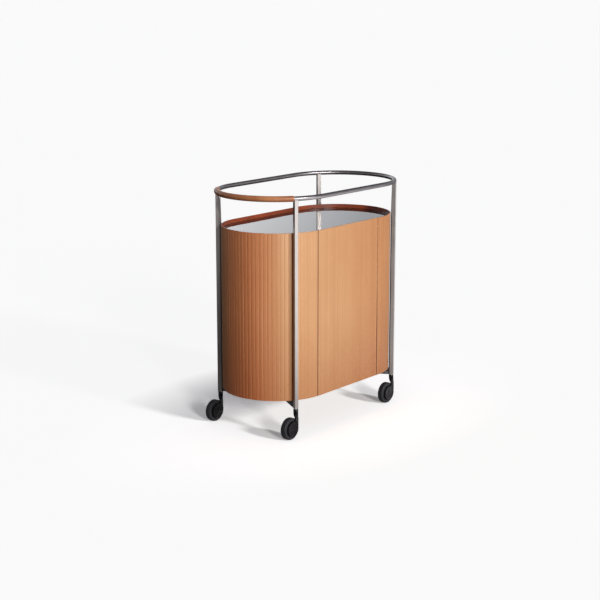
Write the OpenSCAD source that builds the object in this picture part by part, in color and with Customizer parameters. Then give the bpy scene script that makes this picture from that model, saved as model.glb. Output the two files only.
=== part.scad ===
// Oval serving trolley: a leather-clad cabinet with a sunk glass top and one front door, held
// by a steel frame of four uprights under a handrail ring, on four single-arm castors.
// Millimetres, Z up, floor at Z = 0. The origin lies under the middle of the overall length
// and depth. The door faces -Y, and the leather-wrapped handle is the -X end of the ring.

/* [Overall] */
// Height of the top of the handrail above the floor
overall_h = 850; // [780:5:950]
// Half the length of the straight flanks, between the two round ends
half_straight = 178; // [120:1:260]
// Radius of the cabinet's round ends, over the leather
body_r = 196; // [150:1:240]
// Height of the rim of the cabinet above the floor
rim_z = 722; // [640:1:760]
// Height of the cabinet's lower edge above the floor
body_bottom_z = 130; // [118:1:160]

/* [Handrail] */
// Diameter of the handrail tube
rail_d = 16; // [12:0.5:22]
// Level gap between the cabinet's leather and the handrail tube, seen from above
rail_gap = 4.5; // [4:0.5:20]
// Wall of the handrail tube
rail_wall = 2; // [1:0.5:3]
// Thickness of the leather wrapped round the handle end
wrap_t = 2.2; // [1:0.1:4]

/* [Uprights] */
// Angle of each upright round the end, from the long axis
upright_angle = 58; // [45:1:75]
// Thickness of an upright along the cabinet's edge
upright_t = 14; // [13:0.5:18]
// Depth of an upright below the rim, from its nose inwards
upright_depth = 18.5; // [15:0.5:18.5]
// Rounding of an upright's two outer edges
upright_round = 2; // [1:0.5:5]
// Taper of the upright's inner edge between the rim and the handrail
upright_taper = 3; // [0:0.5:6]
// Height of the uprights' lower ends above the floor
upright_bottom_z = 104; // [98:1:110]

/* [Base frame] */
// Width of an arm under the cabinet
arm_w = 12; // [8:0.5:14]
// Step from the upright's lower end up to the arm's lower edge
arm_step = 0; // [0:0.5:4]
// Share of the arm's depth left at its inner end
arm_tip = 0.9; // [0.2:0.05:1]
// Thickness of the spine plate that carries the cabinet
spine_t = 4; // [3:0.5:6]
// Width of the spine plate
spine_w = 60; // [50:1:90]
// Radius of the plate's round hubs, where the arms meet
hub_r = 45; // [38:1:60]
// Distance from a hub's centre to the inner end of an arm
arm_start_r = 20; // [15:1:30]
// Thread diameter of the cabinet bolts
bolt_d = 6; // [4:0.5:8]
// Length of the cabinet bolts under the head
bolt_len = 15; // [12:1:19]
// Distance of the paired bolts from the hub's centre, towards the middle
bolt_pair_inset = 60; // [40:1:80]
// Distance of each paired bolt from the plate's centre line
bolt_pair_half = 18; // [8:1:20]
// Distance of the single bolt from the hub's centre, towards the end
bolt_end_reach = 30; // [12:1:34]

/* [Cabinet walls] */
// Thickness of the leather on its backing sheet
skin_t = 2; // [1.5:0.1:3]
// Thickness of the bent plywood wall
shell_t = 8; // [6:0.5:12]
// Thickness of the dark leather lining inside the rim
lining_t = 2.2; // [1.5:0.1:3]
// Drop of the leather's lower edge below the base panel
skirt = 2; // [1:0.5:6]
// Thickness of the base panel
base_t = 18; // [16:1:24]

/* [Slats] */
// Width of one upright slat of the leather
slat_pitch = 14.6; // [12:0.1:24]
// Width of the groove between two slats
groove_w = 1.4; // [0.8:0.1:3]
// Depth of the grooves on the round ends
groove_d = 0.7; // [0.2:0.1:1.2]
// Depth of the grooves on the flat flanks
flat_groove_d = 0.25; // [0.1:0.05:0.8]

/* [Top] */
// Depth of the sunk glass below the rim
glass_drop = 13; // [10:1:30]
// Thickness of the glass
glass_t = 5; // [4:0.5:8]
// Thickness of the panel under the glass
tray_t = 12; // [9:0.5:18]

/* [Door] */
// Width of the door
door_w = 351; // [280:1:360]
// Sideways offset of the door's middle from the cabinet's middle
door_shift = -13; // [-14:0.5:0]
// Thickness of the door behind its leather
core_t = 16; // [14:0.5:19]
// Width of the seam on each side of the door
seam = 1.2; // [0.8:0.1:2]
// Radius of the rolled leather edge that turns on the hinge pins
roll_r = 2.2; // [2:0.1:2.6]
// Diameter of the hinge pins
pin_d = 2.5; // [2:0.1:2.8]
// Length of hinge pin held in the door at each bracket
pin_grip = 14; // [8:1:20]
// Thickness of the hinge brackets
bracket_t = 3; // [2:0.5:4]

/* [Inside] */
// Height of the shelf's top above the base panel's top
shelf_rise = 260; // [150:5:400]
// Thickness of the shelf
shelf_t = 12; // [9:0.5:18]
// Diameter of the shelf pins
shelf_pin_d = 5; // [4:0.5:8]
// Distance of the magnetic catch from the door panel's left edge
catch_inset = 28; // [26:1:60]
// Width of the magnetic catch
catch_w = 44; // [30:1:60]
// Height of the magnetic catch
catch_h = 22; // [18:1:30]

/* [Castors] */
// Diameter of the wheels
wheel_d = 78; // [70:1:80]
// Width of the tread
tread_w = 22; // [20:0.5:28]
// Distance the wheel trails behind its swivel axis
trail = 34; // [30:0.5:38]
// Diameter of the swivel stem
stem_d = 8; // [6:0.5:8]
// Length of the stem in the upright
stem_len = 28; // [20:1:40]
// Wall of the bush round the stem
bush_wall = 1.2; // [1:0.1:1.3]
// Diameter of the wheel axle
axle_d = 8; // [6:0.5:10]
// Diameter of the castor arm's disc beside the wheel
disc_d = 53; // [40:1:56]
// Thickness of the castor arm beside the wheel
disc_t = 6.5; // [4:0.5:8]
// Width of the castor arm's neck, square in section under the stem
neck_w = 13.5; // [11:0.5:14]
// Length of the castor arm's straight neck under the stem
neck_len = 3; // [2:0.5:6]

/* [Hidden] */
$fn = 64;

// Clearances: fit between fixed curved faces, running fit on a radius, gap beside what moves,
// gap between the closed door and the frame behind it, and gap between a wheel and its arm
fit = 0.2;
running = 0.05;
clear = 0.4;
door_gap = 0.8;
wheel_gap = 1;
// Overshoot of a cutting shape past the face that it cuts
eps = 1;

steel = "#6f696b";
tan_leather = "#c88c5e";
dark_leather = "#4e2418";
ply = "#b98e62";
smoked_glass = "#8c969e";
black = "#1c1c1e";
brass_steel = "#9a958c";

// The handle's wrap makes one end longer, so the plan is moved by half of it
plan_x = wrap_t / 2;

// Handrail and uprights
rail_r = body_r + rail_gap + rail_d / 2;
rail_z = overall_h - rail_d / 2;
nose_r = rail_r + rail_d / 2;
upright_in = nose_r - upright_depth;
stem_r = (nose_r + upright_in) / 2;
saddle_z = rail_z - rail_d / 4;

// Cabinet, from the outside in
shell_out = body_r - skin_t - fit;
shell_in = shell_out - shell_t;
panel_r = shell_in - fit;
lining_in = shell_out - lining_t;
tray_r = lining_in - clear;
glass_r = tray_r - fit;
base_z = body_bottom_z + skirt;
floor_z = base_z + base_t;
glass_z = rim_z - glass_drop;
tray_top_z = glass_z - glass_t;
tray_z = tray_top_z - tray_t;
shelf_z = floor_z + shelf_rise;

// Base frame
spine_z = base_z - spine_t;
arm_z = upright_bottom_z + arm_step;
bolt_r = bolt_d / 2;
bolt_head_h = bolt_d * 2 / 3;
bolt_head_r = bolt_d * 5 / 6;
bolt_spots = [
    for (sx = [-1, 1], spot = [
        [-bolt_pair_inset, bolt_pair_half], [-bolt_pair_inset, -bolt_pair_half], [bolt_end_reach, 0]
    ]) [sx * (half_straight + spot[0]), spot[1]]
];

// Door, in plan
door_l = door_shift - door_w / 2;
door_r = door_shift + door_w / 2;
pin_x = door_r - roll_r;
pin_y = -body_r + roll_r;
core_front = body_r - skin_t;
core_back = core_front - core_t;
core_l = door_l + skin_t;
core_r = pin_x - roll_r - clear;
core_top_z = tray_z - bracket_t - 1;
core_bottom_z = base_z + skirt;
frame_front = core_back - door_gap;
pin_r = pin_d / 2;
bracket_w = 16;
bracket_depth = 36;
screw_r = 1.75;
screw_len = 10;
screw_spots = [[-9, 20], [-9, 32]];

// Slats
slat_n = round(PI * body_r / slat_pitch);
flat_n = round(2 * half_straight / slat_pitch);
groove_angle = asin(groove_w / 2 / body_r);

// Inside
jamb_w = 22;
jamb_depth = 15;
stop_lap = 16;
shelf_pin_r = shelf_pin_d / 2;
shelf_pin_seat = 4;
shelf_pin_reach = 10;
shelf_pin_angle = 35;
strike_t = 1.4;
catch_depth = 16;
catch_l = core_l + catch_inset;

// Castors
wheel_r = wheel_d / 2;
stem_rad = stem_d / 2;
bush_r = stem_rad + running + bush_wall;
bush_bore_r = bush_r + 0.1;
bush_len = stem_len + 2;
flange_t = 1.5;
flange_r = upright_t / 2 - 0.2;
boss_top_z = upright_bottom_z - flange_t - 0.3;
neck_z = boss_top_z - neck_len;
neck_round = 2;
fillet_r = 10;
slice_t = 0.4;
tyre_t = 9.4;
tyre_round = 5;
rim_r = wheel_r - tyre_t;
hub_w = tread_w - 4;
axle_r = axle_d / 2;
disc_inner_y = -tread_w / 2 - wheel_gap;
disc_outer_y = disc_inner_y - disc_t;
axle_head_t = 1.5;
axle_end = hub_w / 2 + 0.5;
// Middle of the arm's flat part, which ends in line with its disc, and the height where it starts
flat_x = disc_d / 2 - neck_w / 2 - trail;
flat_z = wheel_r + disc_d / 2 + fillet_r + 1;

// Plan shapes -------------------------------------------------------------------------------

// An oval of that end radius on the cabinet's two end centres
module oval(r) {
    for (side = [-1, 1]) translate([side * half_straight, 0]) circle(r, $fn = 240);
    square([2 * half_straight, 2 * r], center = true);
}

// Outline points of one slatted round end, from one flank round to the other
function round_end(side) = [
    for (i = [0:slat_n], k = [-1:1])
        let (turn = -90 + i * 180 / slat_n + k * groove_angle, r = body_r - (k == 0 ? groove_d : 0))
            [side * (half_straight + r * cos(turn)), side * r * sin(turn)]
];

// Outline points of one grooved flat flank
function flank(side) = [
    for (j = [1:flat_n - 1], k = [-1:1])
        [side * (half_straight * (1 - 2 * j / flat_n) - k * groove_w / 2),
         side * (body_r - (k == 0 ? flat_groove_d : 0))]
];

module slatted_oval() {
    polygon(concat(round_end(1), flank(1), round_end(-1), flank(-1)));
}

module leather_ring() {
    difference() {
        slatted_oval();
        oval(body_r - skin_t);
    }
}

// The strip of plan in front of the cabinet's inside that the door takes, grown by gap
module door_strip(gap) {
    translate([door_l - gap, -body_r - eps]) square([door_w + 2 * gap, body_r + eps - frame_front]);
}

// Everything beyond one end of the flat back, and the front as far as the door
module end_region(side) {
    reach = body_r + eps;
    difference() {
        union() {
            translate([side > 0 ? half_straight : -half_straight - reach, -reach]) square([reach, 2 * reach]);
            translate([side > 0 ? 0 : -half_straight, -reach]) square([half_straight, reach]);
        }
        door_strip(seam);
    }
}

module back_region() {
    translate([-half_straight, 0]) square([2 * half_straight, body_r + eps]);
}

// Puts plan shapes at their height, on the part's own origin
module slab(z, h) {
    translate([plan_x, 0, z]) linear_extrude(h) children();
}

// Moves a child to an upright's place: X outwards, Y along the cabinet's edge
module at_upright(side_x, side_y) {
    translate([plan_x + side_x * half_straight, 0, 0])
        rotate([0, 0, side_x > 0 ? side_y * upright_angle : 180 - side_y * upright_angle]) children();
}

// Moves a child to a castor's swivel axis, not turned
module at_castor(side_x, side_y) {
    translate([
        plan_x + side_x * (half_straight + stem_r * cos(upright_angle)),
        side_y * stem_r * sin(upright_angle),
        0
    ]) children();
}

// Moves a child drawn along Z to the wheel's centre, with its axis along Y
module at_wheel(side_x, side_y) {
    at_castor(side_x, side_y) translate([-trail, 0, wheel_r]) rotate([90, 0, 0]) children();
}

// Steel frame -------------------------------------------------------------------------------

// A bar of round section that follows the ring, between two angles at one end
module ring_bend(side, radius, half_angle) {
    translate([plan_x + side * half_straight, 0, rail_z])
        rotate([0, 0, (side > 0 ? 0 : 180) - half_angle])
            rotate_extrude(angle = 2 * half_angle, $fn = 240) translate([rail_r, 0]) circle(radius, $fn = 64);
}

module ring_bar(radius) {
    for (side = [-1, 1]) {
        ring_bend(side, radius, 90);
        translate([plan_x - half_straight, side * rail_r, rail_z])
            rotate([0, 90, 0]) cylinder(h = 2 * half_straight, r = radius);
    }
}

module handrail_tube() {
    color(steel) difference() {
        ring_bar(rail_d / 2);
        ring_bar(rail_d / 2 - rail_wall);
    }
}

module handrail_leather() {
    wrap_half_angle = upright_angle - 2;
    color(tan_leather) difference() {
        ring_bend(-1, rail_d / 2 + wrap_t, wrap_half_angle);
        ring_bend(-1, rail_d / 2 + 0.1, wrap_half_angle + 2);
    }
}

module upright(side_x, side_y) {
    nose = upright_t / 2;
    color(steel) difference() {
        at_upright(side_x, side_y) difference() {
            translate([0, 0, upright_bottom_z]) linear_extrude(saddle_z - upright_bottom_z) {
                translate([upright_in, -nose]) square([upright_depth - upright_round, upright_t]);
                translate([upright_in, upright_round - nose]) square([upright_depth, upright_t - 2 * upright_round]);
                for (side = [-1, 1]) translate([nose_r - upright_round, side * (nose - upright_round)])
                    circle(upright_round);
            }
            translate([0, nose + eps, 0]) rotate([90, 0, 0]) linear_extrude(upright_t + 2 * eps)
                polygon([
                    [upright_in - eps, rim_z], [upright_in, rim_z],
                    [upright_in + upright_taper, rail_z], [upright_in - eps, rail_z]
                ]);
            translate([stem_r, 0, upright_bottom_z - eps]) cylinder(h = bush_len + 1 + eps, r = bush_bore_r);
        }
        ring_bend(side_x, rail_d / 2 + 0.1, upright_angle + 8);
    }
}

module upright_front_left() { upright(-1, -1); }
module upright_front_right() { upright(1, -1); }
module upright_back_left() { upright(-1, 1); }
module upright_back_right() { upright(1, 1); }

module base_arm(side_x, side_y) {
    color(steel) at_upright(side_x, side_y)
        translate([0, arm_w / 2, 0]) rotate([90, 0, 0]) linear_extrude(arm_w) polygon([
            [arm_start_r, spine_z - (spine_z - arm_z) * arm_tip], [upright_in, arm_z],
            [upright_in, spine_z], [arm_start_r, spine_z]
        ]);
}

module arm_front_left() { base_arm(-1, -1); }
module arm_front_right() { base_arm(1, -1); }
module arm_back_left() { base_arm(-1, 1); }
module arm_back_right() { base_arm(1, 1); }

module bolt_holes(r) {
    for (spot = bolt_spots) translate(spot) circle(r);
}

module spine_plate() {
    color(steel) slab(spine_z, spine_t) difference() {
        union() {
            for (side = [-1, 1]) translate([side * half_straight, 0]) circle(hub_r);
            square([2 * half_straight, spine_w], center = true);
        }
        bolt_holes(bolt_r + clear);
    }
}

module cabinet_bolts() {
    color(brass_steel) for (spot = bolt_spots) translate([plan_x + spot[0], spot[1], spine_z]) {
        translate([0, 0, -bolt_head_h]) cylinder(h = bolt_head_h, r = bolt_head_r);
        cylinder(h = bolt_len, r = bolt_r);
    }
}

// Cabinet -----------------------------------------------------------------------------------

module base_panel() {
    color(ply) difference() {
        slab(base_z, base_t) difference() {
            oval(panel_r);
            door_strip(seam);
        }
        slab(base_z - eps, bolt_len - spine_t + 2 + eps) bolt_holes(bolt_r + 0.1);
        hinge_screw_holes(base_z, 1);
    }
}

module shell_ring() {
    difference() {
        oval(shell_out);
        oval(shell_in);
    }
}

module end_shell(side) {
    color(ply) difference() {
        slab(base_z, tray_z - base_z) intersection() {
            shell_ring();
            end_region(side);
        }
        shelf_pin_bars(shelf_pin_r + 0.1, side);
    }
}

module left_end_shell() { end_shell(-1); }
module right_end_shell() { end_shell(1); }

module back_panel() {
    color(ply) slab(base_z, tray_z - base_z) intersection() {
        shell_ring();
        back_region();
    }
}

module end_leather(side) {
    color(tan_leather) slab(body_bottom_z, rim_z - body_bottom_z) intersection() {
        leather_ring();
        end_region(side);
    }
}

module left_end_leather() { end_leather(-1); }
module right_end_leather() { end_leather(1); }

module back_leather() {
    color(tan_leather) slab(body_bottom_z, rim_z - body_bottom_z) intersection() {
        leather_ring();
        back_region();
    }
}

// The post that the door closes against, shaped to the bent wall
module left_jamb() {
    color(ply) slab(floor_z, tray_z - floor_z) intersection() {
        oval(panel_r);
        difference() {
            translate([core_l - jamb_w, -panel_r]) square([jamb_w + stop_lap, panel_r - frame_front + jamb_depth]);
            door_strip(seam);
        }
    }
}

module right_jamb() {
    color(ply) slab(floor_z, tray_z - floor_z) intersection() {
        oval(panel_r);
        translate([door_r + seam + 1, -panel_r]) square([jamb_w, panel_r - frame_front + jamb_depth]);
    }
}

module shelf() {
    color(ply) slab(shelf_z - shelf_t, shelf_t) intersection() {
        oval(panel_r);
        translate([-half_straight - body_r, -frame_front + jamb_depth + 1])
            square([2 * (half_straight + body_r), 2 * body_r]);
    }
}

// The pins under the shelf at one end, as round bars of that radius
module shelf_pin_bars(r, side) {
    for (turn = [-shelf_pin_angle, shelf_pin_angle])
        translate([plan_x + side * half_straight, 0, shelf_z - shelf_t - shelf_pin_r])
            rotate([0, 0, turn + (side > 0 ? 0 : 180)])
                translate([shell_in - shelf_pin_reach, 0, 0])
                    rotate([0, 90, 0]) cylinder(h = shelf_pin_reach + shelf_pin_seat, r = r);
}

module shelf_pins() {
    color(brass_steel) for (side = [-1, 1]) shelf_pin_bars(shelf_pin_r, side);
}

module tray_panel() {
    color(ply) difference() {
        slab(tray_z, tray_t) oval(tray_r);
        hinge_screw_holes(tray_z, 1);
    }
}

module glass_top() {
    color(smoked_glass) slab(tray_top_z, glass_t) oval(glass_r);
}

module rim_lining() {
    color(dark_leather) slab(tray_z, rim_z - tray_z) difference() {
        oval(shell_out);
        oval(lining_in);
        door_strip(seam);
    }
}

// Hinges and catch --------------------------------------------------------------------------

module hinge_screw_holes(z, up) {
    for (spot = screw_spots) translate([plan_x + pin_x + spot[0], pin_y + spot[1], z])
        translate([0, 0, up > 0 ? -eps : -screw_len]) cylinder(h = screw_len + eps, r = screw_r + 0.1);
}

// A bracket plate whose narrow eye reaches forward to the pin's axis
module hinge_bracket(z) {
    color(steel) difference() {
        slab(z, bracket_t) {
            translate([pin_x, pin_y]) circle(roll_r);
            translate([pin_x - roll_r, pin_y]) square([2 * roll_r, bracket_depth]);
            translate([pin_x + roll_r - bracket_w, pin_y + core_t]) square([bracket_w, bracket_depth - core_t]);
        }
        translate([plan_x + pin_x, pin_y, z - eps]) cylinder(h = bracket_t + 2 * eps, r = pin_r + 0.02);
        for (spot = screw_spots) translate([plan_x + pin_x + spot[0], pin_y + spot[1], z - eps])
            cylinder(h = bracket_t + 2 * eps, r = screw_r + 0.1);
    }
}

module hinge_bracket_top() { hinge_bracket(tray_z - bracket_t); }
module hinge_bracket_bottom() { hinge_bracket(base_z - bracket_t); }

module hinge_pins() {
    color(brass_steel) translate([plan_x + pin_x, pin_y, 0]) {
        translate([0, 0, base_z - bracket_t]) cylinder(h = bracket_t + pin_grip, r = pin_r);
        translate([0, 0, tray_z - bracket_t - pin_grip]) cylinder(h = bracket_t + 2 * pin_grip, r = pin_r);
    }
}

module hinge_screws() {
    head_t = 1.6;
    color(brass_steel) for (z = [base_z, tray_z], spot = screw_spots)
        translate([plan_x + pin_x + spot[0], pin_y + spot[1], z - bracket_t]) {
            translate([0, 0, -head_t]) cylinder(h = head_t, r = 2 * screw_r);
            cylinder(h = screw_len, r = screw_r);
        }
}

module catch_body() {
    color(black) translate([plan_x + catch_l, -core_back + strike_t + clear, tray_z - catch_h])
        cube([catch_w, catch_depth, catch_h]);
}

module catch_strike() {
    lip = 2;
    color(brass_steel) translate([plan_x + catch_l + lip, -core_back, tray_z - catch_h + lip])
        cube([catch_w - 2 * lip, strike_t, catch_h / 2]);
}

// Door --------------------------------------------------------------------------------------

module door_panel() {
    color(ply) slab(core_bottom_z, core_top_z - core_bottom_z) intersection() {
        translate([core_l, -core_front]) square([core_r - core_l, core_t]);
        oval(core_front);
    }
}

// The leather front, with its rolled edge bored for the pins and notched for the brackets
module door_leather() {
    notch = roll_r + clear;
    color(tan_leather) difference() {
        slab(body_bottom_z, rim_z - body_bottom_z) difference() {
            union() {
                intersection() {
                    leather_ring();
                    translate([door_l, -body_r - eps]) square([pin_x - door_l, body_r]);
                }
                translate([pin_x, pin_y]) circle(roll_r);
            }
            translate([pin_x, pin_y]) circle(pin_r + running);
        }
        for (z = [base_z, tray_z])
            translate([plan_x + pin_x - notch, -body_r - eps, z - bracket_t - clear])
                cube([2 * notch, notch + roll_r + 2 * eps, bracket_t + 2 * clear]);
    }
}

module door_rim_lining() {
    color(dark_leather) slab(core_top_z, rim_z - core_top_z) intersection() {
        translate([core_l, -core_front]) square([core_r - core_l, lining_t + fit]);
        oval(core_front);
    }
}

// Castors -----------------------------------------------------------------------------------

module castor_bushes() {
    color(brass_steel) for (side_x = [-1, 1], side_y = [-1, 1]) at_castor(side_x, side_y) difference() {
        union() {
            translate([0, 0, upright_bottom_z]) cylinder(h = bush_len, r = bush_r);
            translate([0, 0, upright_bottom_z - flange_t]) cylinder(h = flange_t, r = flange_r);
        }
        translate([0, 0, upright_bottom_z - flange_t - eps])
            cylinder(h = bush_len + flange_t + 2 * eps, r = stem_rad + running);
    }
}

// Outline points of a rectangle of that width and depth with rounded corners
function rounded(w, d) = [
    for (corner = [0:3], k = [0:3])
        let (sx = corner == 0 || corner == 3 ? 1 : -1, sy = corner < 2 ? 1 : -1, turn = 90 * corner + 30 * k)
            [sx * (w / 2 - neck_round) + neck_round * cos(turn), sy * (d / 2 - neck_round) + neck_round * sin(turn)]
];

// A thin slice of the neck, at that share of the way from the stem to the arm's flat part. The
// neck keeps its full section until just above the tyre
module neck_slice(share) {
    ease = (1 - cos(180 * share)) / 2;
    depth = neck_w + (disc_t - neck_w) * pow(share, 4);
    outer_y = -neck_w / 2 + (disc_outer_y + neck_w / 2) * ease;
    translate([flat_x * ease, outer_y + depth / 2, neck_z + (flat_z - neck_z) * share])
        linear_extrude(slice_t) polygon(rounded(neck_w, depth));
}

// Fills the corner between the arm's flat part and its disc, drawn round the disc's centre
module arm_fillet() {
    across = disc_d / 2 - neck_w - fillet_r;
    up = sqrt(pow(disc_d / 2 + fillet_r, 2) - pow(across, 2));
    difference() {
        translate([across, 0]) square([fillet_r + 1, up]);
        translate([across, up]) circle(fillet_r);
    }
}

// The square neck leaves the stem on the swivel axis, sweeps back and outwards above the tyre,
// and runs down flat beside the wheel into a disc
module castor_arm(side_x, side_y) {
    color(black) at_castor(side_x, side_y) difference() {
        union() {
            translate([0, 0, boss_top_z - eps]) cylinder(h = stem_len + flange_t + eps, r = stem_rad);
            translate([0, 0, neck_z]) linear_extrude(neck_len) polygon(rounded(neck_w, neck_w));
            for (step = [0:3]) hull() {
                neck_slice(step / 4);
                neck_slice((step + 1) / 4);
            }
            translate([-trail, disc_inner_y, wheel_r]) rotate([90, 0, 0]) linear_extrude(disc_t) {
                circle(disc_d / 2);
                translate([disc_d / 2 - neck_w, 0]) square([neck_w, flat_z - wheel_r + slice_t]);
                arm_fillet();
            }
        }
        translate([-trail, 0, wheel_r]) rotate([90, 0, 0]) {
            cylinder(h = 2 * tread_w, r = axle_r + 0.02, center = true);
            translate([0, 0, -tread_w]) cylinder(h = tread_w - disc_inner_y, r = wheel_r + wheel_gap);
        }
    }
}

module castor_arm_front_left() { castor_arm(-1, -1); }
module castor_arm_front_right() { castor_arm(1, -1); }
module castor_arm_back_left() { castor_arm(-1, 1); }
module castor_arm_back_right() { castor_arm(1, 1); }

// The axle ends flush with the arm's disc and has its head on the wheel's free side
module castor_axle(side_x, side_y) {
    head_r = axle_r + 4;
    color(black) at_wheel(side_x, side_y) {
        translate([0, 0, -axle_end]) cylinder(h = axle_end - disc_outer_y, r = axle_r);
        translate([0, 0, -axle_end - axle_head_t]) cylinder(h = axle_head_t, r = head_r);
    }
}

module castor_axle_front_left() { castor_axle(-1, -1); }
module castor_axle_front_right() { castor_axle(1, -1); }
module castor_axle_back_left() { castor_axle(-1, 1); }
module castor_axle_back_right() { castor_axle(1, 1); }

module wheel_hub(side_x, side_y) {
    half = hub_w / 2;
    web = half / 2;
    felloe = rim_r - 5;
    boss = axle_r + 6;
    color(black) at_wheel(side_x, side_y) rotate_extrude() polygon([
        [axle_r + running, -half], [boss, -half], [boss, -web], [felloe, -web], [felloe, -half], [rim_r, -half],
        [rim_r, half], [felloe, half], [felloe, web], [boss, web], [boss, half], [axle_r + running, half]
    ]);
}

module wheel_hub_front_left() { wheel_hub(-1, -1); }
module wheel_hub_front_right() { wheel_hub(1, -1); }
module wheel_hub_back_left() { wheel_hub(-1, 1); }
module wheel_hub_back_right() { wheel_hub(1, 1); }

module wheel_tyre(side_x, side_y) {
    inner = rim_r + 0.1;
    flat = tread_w / 2 - tyre_round;
    color(black) at_wheel(side_x, side_y) rotate_extrude() intersection() {
        translate([inner, -tread_w / 2]) square([wheel_r - inner, tread_w]);
        union() {
            translate([0, -tread_w / 2]) square([wheel_r - tyre_round, tread_w]);
            translate([0, -flat]) square([wheel_r, 2 * flat]);
            for (edge = [-flat, flat]) translate([wheel_r - tyre_round, edge]) circle(tyre_round);
        }
    }
}

module wheel_tyre_front_left() { wheel_tyre(-1, -1); }
module wheel_tyre_front_right() { wheel_tyre(1, -1); }
module wheel_tyre_back_left() { wheel_tyre(-1, 1); }
module wheel_tyre_back_right() { wheel_tyre(1, 1); }

handrail_tube();
handrail_leather();
upright_front_left();
upright_front_right();
upright_back_left();
upright_back_right();
arm_front_left();
arm_front_right();
arm_back_left();
arm_back_right();
spine_plate();
cabinet_bolts();
base_panel();
left_end_shell();
right_end_shell();
back_panel();
left_end_leather();
right_end_leather();
back_leather();
left_jamb();
right_jamb();
shelf();
shelf_pins();
tray_panel();
glass_top();
rim_lining();
hinge_bracket_top();
hinge_bracket_bottom();
hinge_pins();
hinge_screws();
catch_body();
catch_strike();
door_panel();
door_leather();
door_rim_lining();
castor_bushes();
castor_arm_front_left();
castor_arm_front_right();
castor_arm_back_left();
castor_arm_back_right();
castor_axle_front_left();
castor_axle_front_right();
castor_axle_back_left();
castor_axle_back_right();
wheel_hub_front_left();
wheel_hub_front_right();
wheel_hub_back_left();
wheel_hub_back_right();
wheel_tyre_front_left();
wheel_tyre_front_right();
wheel_tyre_back_left();
wheel_tyre_back_right();
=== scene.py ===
"""Dresses the oval leather serving trolley and sets it in a pale studio."""

import logging
import math
from dataclasses import dataclass, field
from enum import Enum

import bmesh
import bpy
from mathutils import Matrix, Vector


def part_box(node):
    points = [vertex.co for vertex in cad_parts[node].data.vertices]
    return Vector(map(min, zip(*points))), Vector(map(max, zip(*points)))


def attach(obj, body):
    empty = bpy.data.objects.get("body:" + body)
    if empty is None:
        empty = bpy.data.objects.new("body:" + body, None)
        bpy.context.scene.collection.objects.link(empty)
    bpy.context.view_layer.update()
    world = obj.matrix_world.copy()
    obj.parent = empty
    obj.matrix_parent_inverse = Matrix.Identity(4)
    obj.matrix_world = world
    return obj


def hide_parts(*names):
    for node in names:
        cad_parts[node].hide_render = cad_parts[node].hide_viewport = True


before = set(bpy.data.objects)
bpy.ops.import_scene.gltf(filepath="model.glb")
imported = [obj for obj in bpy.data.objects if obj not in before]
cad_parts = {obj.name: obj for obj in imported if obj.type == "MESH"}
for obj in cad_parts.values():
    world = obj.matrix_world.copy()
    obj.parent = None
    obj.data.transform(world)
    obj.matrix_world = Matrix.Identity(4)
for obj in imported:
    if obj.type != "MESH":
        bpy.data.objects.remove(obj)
LOG = logging.getLogger("trolley")
MM = 0.001
MERGE = 0.01 * MM
CORNERS = ("front_left", "front_right", "back_left", "back_right")
MIDDLE_X = 1.1 * MM
END_REACH = 178 * MM
UPRIGHT_ANGLE = math.radians(58)
Mesh, Corner, Edge = bmesh.types.BMesh, bmesh.types.BMVert, bmesh.types.BMEdge
Material, Tree, Socket = bpy.types.Material, bpy.types.NodeTree, bpy.types.NodeSocket
Outputs = bpy.types.NodeOutputs
Colour = tuple[float, float, float, float]
Triple = tuple[float, float, float]
Span = tuple[float, float]
Ramp = tuple[float, float, float, float]
BLACK: Colour = (0.0, 0.0, 0.0, 1.0)
WHITE: Colour = (1.0, 1.0, 1.0, 1.0)


def paint(red: int, green: int, blue: int) -> Colour:
    """Turns a colour written 0 to 255 into the linear colour that a socket takes.

    Args:
        red: Red as displayed.
        green: Green as displayed.
        blue: Blue as displayed.

    Returns:
        The linear colour with full alpha.
    """
    def line(value: int) -> float:
        """Undoes the display curve of one channel."""
        share = value / 255
        return share / 12.92 if share <= 0.04045 else ((share + 0.055) / 1.055) ** 2.4
    return (line(red), line(green), line(blue), 1.0)


# Node trees --------------------------------------------------------------------------------


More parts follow.
